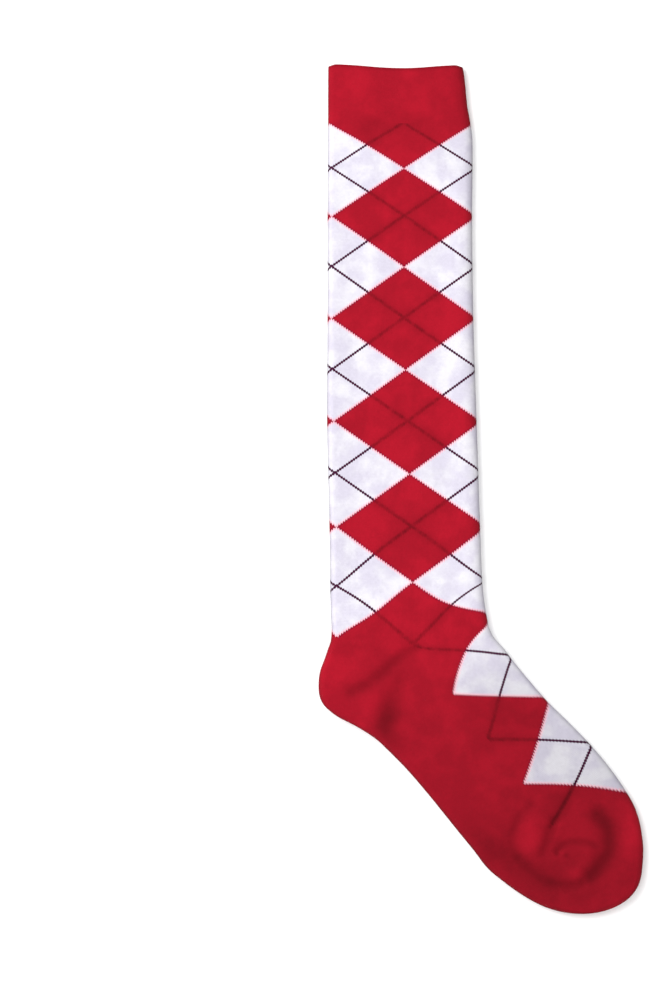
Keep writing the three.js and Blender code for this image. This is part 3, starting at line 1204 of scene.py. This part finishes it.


# Lift, painted light (painted shade where negative), width, points.
CREASES = (
    # The soft folds below the cuff's band, and the two long soft bands of the leg.
    Crease(-0.5 * MM, -0.09, 4.5 * MM, ((-71, 224), (-60, 229), (-50, 229), (-38, 229), (-29, 224))),
    Crease(0.2 * MM, 0.06, 9 * MM, ((-19, 185), (-17, 100), (-15, 20), (-12, -60))),
    Crease(-0.2 * MM, -0.04, 10 * MM, ((-84, 185), (-84, 20), (-82, -60))),
    # The fold from the side of the ankle to the back of the heel, and the hollow where the heel turns into
    # the sole.
    Crease(
        -1.6 * MM,
        -0.27,
        4.2 * MM,
        ((-42, -99), (-49, -103), (-56, -109), (-62, -115), (-69, -120), (-80, -125)),
    ),
    Crease(-0.9 * MM, -0.16, 6.0 * MM, ((-50, -116), (-53, -124), (-57, -134), (-60, -144), (-56, -155))),
    # The crease that goes on from the argyle's last line, the valley that it runs into, and the ridge
    # beside that valley.
    Crease(-0.6 * MM, -0.28, 1.2 * MM, ((58, -182), (52, -193), (48, -200), (43, -209))),
    Crease(-1.5 * MM, -0.18, 4.0 * MM, ((45, -206), (43, -211), (41, -218), (39, -225))),
    Crease(0.7 * MM, 0.10, 2.0 * MM, ((49, -208), (46, -216), (41, -226))),
    # The edge of the left lobe, and the ring round the puckered middle.
    Crease(-0.8 * MM, -0.15, 2.8 * MM, ((31, -195), (25, -201), (21, -209), (19, -219), (22, -227))),
    Crease(
        -2.2 * MM,
        -0.44,
        5.6 * MM,
        ((73, -202), (78, -208), (80, -216), (79, -225), (74, -233), (68, -239)),
    ),
    Crease(-1.4 * MM, -0.24, 3.4 * MM, ((62, -244), (53, -246), (43, -243), (33, -237), (24, -229))),
    # The hollow along the low edge, from the sole to the toe's end.
    Crease(-1.1 * MM, -0.22, 8.5 * MM, ((-2, -214), (9, -222), (18, -228), (28, -239), (40, -246))),
    # The fold over the bud in the middle.
    Crease(-0.9 * MM, -0.16, 2.2 * MM, ((47, -224), (53, -219), (60, -218), (67, -219), (72, -222))),
)
# Lift, painted light (painted shade where negative), width, length, middle, heading.
SWELLINGS = (
    # Two soft dents below the cuff's band.
    Swelling(-0.3 * MM, -0.08, 10 * MM, 8 * MM, (-67, 222)),
    Swelling(-0.3 * MM, -0.09, 10 * MM, 7 * MM, (-37, 225), math.radians(60)),
    # The heel's two bright lobes, the shade behind the upper one, and the middle of the hollow below.
    Swelling(0.5 * MM, 0.10, 8 * MM, 10 * MM, (-70, -132)),
    Swelling(0.4 * MM, 0.04, 7 * MM, 13 * MM, (-55, -90), math.radians(30)),
    Swelling(0.2 * MM, -0.10, 12 * MM, 14 * MM, (-72, -95)),
    Swelling(-1.8 * MM, -0.42, 7.5 * MM, 13 * MM, (-58, -141), math.radians(-20)),
    Swelling(-0.3 * MM, -0.06, 12 * MM, 14 * MM, (-48, -140)),
    # The instep, which sinks a little in the middle.
    Swelling(-0.3 * MM, -0.10, 20 * MM, 20 * MM, (25, -144)),
    # The toe's left lobe, its outer rim and the dent below the argyle's last edge.
    Swelling(1.1 * MM, 0.28, 8 * MM, 14 * MM, (31, -214), math.radians(-8)),
    Swelling(0.4 * MM, 0.40, 8 * MM, 20 * MM, (93, -214), math.radians(5)),
    Swelling(-0.3 * MM, -0.10, 7 * MM, 8 * MM, (49, -192)),
    # The bud, with a dent in its middle, its low end, and its small knot between two dents.
    Swelling(0.7 * MM, 0.04, 9 * MM, 9 * MM, (62, -233)),
    Swelling(-0.4 * MM, -0.10, 6 * MM, 4.5 * MM, (56, -230)),
    Swelling(0.3 * MM, 0.16, 6 * MM, 3.5 * MM, (58, -238)),
    Swelling(0.4 * MM, 0.18, 1.4 * MM, 1.4 * MM, (50, -225)),
    Swelling(-0.4 * MM, -0.22, 1.6 * MM, 1.6 * MM, (47, -225.5)),
    Swelling(-0.4 * MM, -0.20, 1.6 * MM, 1.6 * MM, (53, -226.5)),
)


class Sock:
    """The whole sock: its pieces and the one surface that they are cut from."""

    FOLD_SHARE = 0.43  # a folded edge's radius, as a share of the height there
    BLEND_SHARE = 0.7  # how much of each half row turns smoothly into the other half
    NARROWEST_FOLD = 0.9  # a fold's radius is at most this share of its half row
    UNDER_MIDDLE = 2.91  # half diamonds round the tube to the middle of the underside
    # Row, the argyle's course there, how many more it has got to at the back and the front fold, then in
    # millimetres the offset of its middle and half a diamond's width on the back and on the front.
    KNITTING = (
        (-2.1, -2.10, 0.00, 0.00, 0.0, 46.0, 43.4),
        (-1.0, -1.00, 0.00, 0.00, 0.2, 46.0, 43.4),
        (-0.6, -0.57, 0.00, 0.00, 0.3, 45.3, 44.3),
        (0.0, 0.05, 0.00, 0.00, 0.5, 44.9, 44.9),
        (3.0, 3.06, 0.00, 0.00, 0.5, 45.0, 45.0),
        (7.0, 7.06, 0.00, 0.00, 0.6, 46.6, 46.6),
        (7.8, 7.85, -0.08, 0.00, 0.5, 47.0, 47.1),
        (8.1, 8.16, -0.08, 0.12, 0.4, 47.2, 47.4),
        (8.6, 8.66, 0.00, 0.23, 0.5, 47.2, 50.0),
        (9.0, 9.06, 0.00, 0.00, 0.6, 47.2, 53.0),
        (9.5, 9.56, 0.00, 0.00, 1.6, 47.0, 47.4),
        (10.0, 10.05, 0.00, -0.03, 2.6, 47.0, 43.7),
        (11.0, 11.06, 0.00, -0.03, 2.8, 47.0, 46.4),
        (12.0, 12.06, 0.00, -0.06, 3.4, 47.0, 49.6),
        (13.0, 13.09, 0.00, 0.00, 2.0, 48.0, 53.5),
        (14.85, 14.93, 0.00, 0.00, 2.0, 52.0, 52.0),
    )
    # Row, the painted light and shade there, and how much painted shade darkens the front fold.
    PAINTED_SHADING_ROWS = (
        (-2.08, 0.70, 0.34),
        (-2.03, 0.99, 0.34),
        (-1.00, 0.99, 0.26),
        (5.0, 1.00, 0.24),
        (7.0, 1.00, 0.20),
        (8.6, 1.03, 0.18),
        (9.3, 0.97, 0.10),
        (9.6, 0.94, 0.04),
        (10.2, 0.85, 0.00),
        (11.0, 0.83, 0.00),
        (12.0, 0.78, 0.02),
        (13.0, 0.71, 0.08),
        (13.9, 0.685, 0.08),
        (14.4, 0.70, 0.08),
        (14.85, 0.745, 0.08),
    )
    OUTLINE_SHADE = 0.45  # how much painted shade darkens the knit on the outermost line of the folds
    OUTLINE_TURN = 0.7  # the turn at which that shade ends
    FRONT_BAND = 5.5 * MM  # how far the band of painted shade along the front fold reaches in
    CORNER_DROP = 1.3 * MM  # how far the mouth's corners hang below its edge
    CORNER_SIZE = 3.2 * MM  # how far from a corner the edge still hangs

    def __init__(self, forms: Sequence[Form], waves: Waves) -> None:
        """Shape the sock.

        Args:
            forms: The soft forms of the upper layer.
            waves: The unevenness of the upper layer.
        """
        self.cuff, self.leg, self.heel, self.foot, self.toe = Cuff(), Leg(), Heel(), Foot(), Toe()
        self.pieces: tuple[Piece, ...] = (self.cuff, self.leg, self.heel, self.foot, self.toe)
        self.forms, self.waves = forms, waves
        self.spots = Spots()
        self.table = self._table()
        self.rows = self._rows()
        self._surface()

    def first_step(self, piece: Piece) -> int:
        """Return the number of steps along the sock before a piece."""
        return sum(other.steps for other in self.pieces[: self.pieces.index(piece)])

    def _table(self) -> np.ndarray:
        """Join the pieces' tables into one.

        Returns:
            The lines of the whole sock, from the mouth to the toe.
        """
        leg_start = self.cuff.end(np.zeros(2))
        ankle = self.leg.end(leg_start)
        starts = (np.zeros(2), leg_start, ankle, ankle, self.foot.end(ankle))
        return np.concatenate([piece.table(start) for piece, start in zip(self.pieces, starts)])

    def _rows(self) -> np.ndarray:
        """Number the steps along the sock, which lie closer and closer towards the toe's end.

        Returns:
            The row number at each step.
        """
        rows = []
        for piece, after in zip(self.pieces[:-1], self.pieces[1:]):
            rows.append(np.linspace(piece.first_row, after.first_row, piece.steps, endpoint=False))
        quarter = np.linspace(0, math.pi / 2, self.toe.steps + 1)
        rows.append(self.toe.first_row + (self.toe.last_row - self.toe.first_row) * np.sin(quarter))
        return np.concatenate(rows)

    def _rows_at(self, rows: np.ndarray) -> dict[str, np.ndarray]:
        """Read the table at some rows, with the round end of the toe.

        Args:
            rows: Row numbers.

        Returns:
            The rows' middles, widths, turns, lofts, fold radii, and how far the height has closed.
        """
        names = ("x", "y", "back", "front", "back_turn", "front_turn", "loft")
        found = dict(zip(names, curve_through(self.table, rows).T))
        share = (rows - self.toe.first_row) / (self.toe.last_row - self.toe.first_row)
        share = np.clip(share, 0, 1)
        narrowing = np.sqrt(1 - share**self.toe.bluntness)
        found["back"] = found["back"] * narrowing
        found["front"] = found["front"] * narrowing
        found["fold"] = self.FOLD_SHARE * found["loft"]
        from_tip = np.minimum((1 - share) * self.toe.length / found["fold"], 1)
        found["closing"] = np.sqrt(1 - (1 - from_tip) ** 2)
        return {name: column[:, None] for name, column in found.items()}

    def _on_floor(self, found: dict[str, np.ndarray], reach: np.ndarray, drawn: np.ndarray) -> np.ndarray:
        """Find the floor's points below some rows.

        Args:
            found: The rows.
            reach: How far before a row's middle each point lies.
            drawn: How far along its turned row each point is drawn, which is its reach, but not on the
                unrolled sheet.

        Returns:
            The points, with the two halves of each row turned smoothly into each other.
        """
        half = self.BLEND_SHARE * np.where(reach < 0, found["back"], found["front"])
        share = np.clip((reach / np.maximum(half, TINY) + 1) / 2, 0, 1)
        turn = found["back_turn"] + (found["front_turn"] - found["back_turn"]) * smooth(share)
        return np.stack([found["x"] + np.cos(turn) * drawn, found["y"] + np.sin(turn) * drawn], axis=-1)

    def _place(self, found: dict[str, np.ndarray], reach: np.ndarray, from_fold: np.ndarray) -> np.ndarray:
        """Find the floor's points below the surface, where the mouth's corners hang a little.

        Args:
            found: The rows.
            reach: How far before its row's middle each point lies.
            from_fold: How far each point is from the fold of its half.

        Returns:
            The points, with the middle of their box at the origin.
        """
        place = self._on_floor(found, reach, reach)
        from_mouth = place[:1, :, 1] - place[..., 1]
        corner = np.exp(-((from_fold / self.CORNER_SIZE) ** 2) - (from_mouth / self.CORNER_SIZE) ** 2)
        place[..., 1] -= self.CORNER_DROP * corner
        corners = place.reshape(-1, 2)
        return place - (corners.min(0) + corners.max(0)) / 2

    def _painted_shading(self, nears: Sequence[np.ndarray], turn: np.ndarray, from_front: np.ndarray) -> np.ndarray:
        """Work out the painted light and shade over the surface.

        Args:
            nears: How much the points lie below each of the soft forms.
            turn: The spots' turns, which are 0 on the outermost lines of the folds.
            from_front: How far each point is from the front fold, or infinity on the back half.

        Returns:
            The painted shading, 1 where the yarn has its own colour, less under painted shade, more under
            painted light.
        """
        rows, *columns = np.array(self.PAINTED_SHADING_ROWS).T
        tone, front_shade = (np.interp(self.rows, rows, column)[:, None] for column in columns)
        tone = np.repeat(tone, self.spots.count, axis=1)
        # Painted shade in the forms' valleys and painted light on their lobes.
        for form, near in zip(self.forms, nears):
            tone = tone * (1 + form.light * near)
        # Painted shade on the outermost lines of the folds and in a band along the front fold.
        tone *= 1 - self.OUTLINE_SHADE * (1 - smooth(np.minimum(turn / self.OUTLINE_TURN, 1)))
        return tone * (1 - front_shade * np.exp(-((from_front / self.FRONT_BAND) ** 2)))

    def _surface(self) -> None:
        """Lay out the surface: its points, outward directions, painted shading, stitches and unrolled
        sheet.
        """
        side, layer, turn, run = self.spots.columns()
        found = self._rows_at(self.rows)
        width = np.where(side < 0, found["back"], found["front"])
        roundness = np.minimum(found["fold"], self.NARROWEST_FOLD * width)
        quarter = turn * math.pi / 2
        inward = roundness * (1 - np.cos(quarter)) + run * (width - roundness)
        reach = side * (width - inward)
        from_fold = width - np.abs(reach)
        place = self._place(found, reach, from_fold)
        flat_width = np.maximum(found["back"] + found["front"] - 2 * roundness, TINY)
        share = np.clip((reach + found["back"] - roundness) / flat_width, 0, 1)
        rise = smooth(4 * share * (1 - share))
        upper = layer > 0
        nears = [np.where(upper, form.near(place), 0) for form in self.forms]
        lift = (found["loft"] - 2 * found["fold"]) * rise + self.waves.lift(place) * np.sqrt(rise)
        for form, near in zip(self.forms, nears):
            lift = lift + form.lift * near * rise
        height = found["fold"] * (1 + layer * found["closing"] * np.sin(quarter))
        height = height + np.where(upper, lift * found["closing"], 0)
        self.outer = np.concatenate([place, (height - height.min())[..., None]], axis=-1)
        self.tone = self._painted_shading(nears, turn, np.where(side > 0, from_fold, np.inf))
        self.back_turn = found["back_turn"][:, 0]
        self._face_outwards()
        unrolled = side * ((width - roundness) * (1 - run) + roundness * (1 - turn) * math.pi / 2)
        flat = self._on_floor(found, reach, unrolled)
        self.flat = np.concatenate([flat, flat[:, :1]], axis=1)
        self._count_stitches(reach, unrolled)

    def _face_outwards(self) -> None:
        """Find the surface's outward direction at each point, from its neighbours."""
        beside = np.roll(self.outer, -1, axis=1) - np.roll(self.outer, 1, axis=1)
        after = np.minimum(np.arange(len(self.rows)) + 1, len(self.rows) - 1)
        before = np.maximum(np.arange(len(self.rows)) - 1, 0)
        down = self.outer[after] - self.outer[before]
        outward = np.cross(down, beside)
        outward[-1] = (*along(self.toe.heading), 0)
        self.outward = outward / np.linalg.norm(outward, axis=-1, keepdims=True)

    def _count_stitches(self, reach: np.ndarray, unrolled: np.ndarray) -> None:
        """Count the courses along the tube and the wales round it, in half diamonds.

        On the flat of the upper layer the wales are even on the floor. Round the folds and on the
        underside they share out what is left, on each half of the tube for itself.

        Args:
            reach: How far before its row's middle each point lies.
            unrolled: The same along the surface.
        """
        columns = curve_through(np.array(self.KNITTING), self.rows).T
        courses, back_lean, front_lean, middle, back, front = (column[:, None] for column in columns)
        middle, back, front = middle * MM, back * MM, front * MM
        before = np.concatenate([reach, reach[:, :1]], axis=1)
        lean = np.where(before < 0, back_lean, front_lean)
        self.courses = courses + lean * (before / np.where(before < 0, back, front)) ** 2
        spots = self.spots
        wales = np.empty((len(self.rows), spots.count + 1))
        flat = slice(spots.fold_steps, spots.front_fold - spots.fold_steps + 1)
        off = reach[:, flat] - middle
        wales[:, flat] = 1 + off / np.where(off < 0, back, front)
        closed = np.concatenate([unrolled, unrolled[:, :1]], axis=1)
        front_path = np.arange(spots.front_fold - spots.fold_steps, spots.lower_middle + 1)
        back_fold = np.arange(spots.fold_steps, -1, -1)
        back_path = np.concatenate([back_fold, np.arange(spots.count, spots.lower_middle - 1, -1)])
        for path in (front_path, back_path):
            lap = np.where(path < spots.upper_middle, UNITS_ROUND, 0)
            passed = np.cumsum(np.abs(np.diff(closed[:, path], axis=1)), axis=1)
            share = np.pad(passed / passed[:, -1:], ((0, 0), (1, 0)))
            start = wales[:, path[:1]] + lap[0]
            wales[:, path] = start + (self.UNDER_MIDDLE - start) * share - lap
        self.wales = wales


@dataclass(frozen=True)
class Studio:
    """The pale floor, the soft light from the left and the camera straight above."""

    floor_size: float = 6.0
    floor_drop: float = 0.2 * MM
    floor_colour: Colour = (0.99, 0.99, 0.99)
    grain: float = 20 * MM
    grain_detail: float = 2.0
    grain_shade: float = 0.99
    ambient: float = 1.05
    key_power: float = 28.0
    key_size: float = 1.5
    key_place: tuple[float, float, float] = (-1.1, 0.65, 1.3)
    frame_height: float = 0.62
    frame_middle: tuple[float, float] = (-0.0918, -0.0063)
    frame_level: float = 7 * MM  # how high above the floor the frame has its height
    lens: float = 150.0  # in millimetres, as is the sensor
    sensor: float = 36.0

    def floor(self) -> None:
        """Lay the floor under the sock."""
        half = self.floor_size / 2
        corners = [(-half, -half), (half, -half), (half, half), (-half, half)]
        mesh = bpy.data.meshes.new("floor")
        mesh.from_pydata([(x, y, -self.floor_drop) for x, y in corners], [], [(0, 1, 2, 3)])
        shader = Shader("floor_paper")
        grain = shader.noise(self.grain, self.grain_detail)
        shaded = tuple(self.grain_shade * part for part in self.floor_colour)
        paper = shader.mix(grain, self.floor_colour, shaded)
        surface = shader.node("ShaderNodeBsdfPrincipled", {}, {"Base Color": paper, "Roughness": 1.0})
        shader.node("ShaderNodeOutputMaterial", {}, {0: surface})
        mesh.materials.append(shader.material)
        floor = bpy.data.objects.new("floor", mesh)
        bpy.context.scene.collection.objects.link(floor)

    def light(self) -> None:
        """Add an even ambient light and one large soft lamp."""
        world = bpy.data.worlds.new("studio")
        world.use_nodes = True
        background = world.node_tree.nodes["Background"]
        background.inputs["Color"].default_value = (1, 1, 1, 1)
        background.inputs["Strength"].default_value = self.ambient
        bpy.context.scene.world = world
        lamp = bpy.data.lights.new("key", "AREA")
        lamp.shape = "DISK"
        lamp.size = self.key_size
        lamp.energy = self.key_power
        key = bpy.data.objects.new("key", lamp)
        key.location = self.key_place
        aim = -np.array(self.key_place)
        key.rotation_euler = (
            math.atan2(math.hypot(aim[0], aim[1]), -aim[2]),
            0,
            math.atan2(aim[1], aim[0]) - math.pi / 2,
        )
        bpy.context.scene.collection.objects.link(key)

    def camera(self) -> None:
        """Hang the camera straight above the frame's middle."""
        data = bpy.data.cameras.new("camera")
        data.lens = self.lens
        data.sensor_width = self.sensor
        camera = bpy.data.objects.new("camera", data)
        height = self.frame_height * self.lens / self.sensor + self.frame_level
        camera.location = (*self.frame_middle, height)
        bpy.context.scene.collection.objects.link(camera)
        bpy.context.scene.camera = camera

    def build(self) -> None:
        """Build the studio."""
        self.camera()
        self.floor()
        self.light()
        bpy.context.scene.view_settings.view_transform = "Standard"


def main() -> None:
    """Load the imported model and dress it."""
    logging.basicConfig(level=logging.INFO, format="%(message)s")
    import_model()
    Studio().build()
    sock = Sock((*CREASES, *SWELLINGS), Waves())
    for piece in sock.pieces:
        made = piece.build(sock)
        log.info("%s: %d faces", made.name, len(made.data.polygons))


if __name__ == "__main__":
    main()
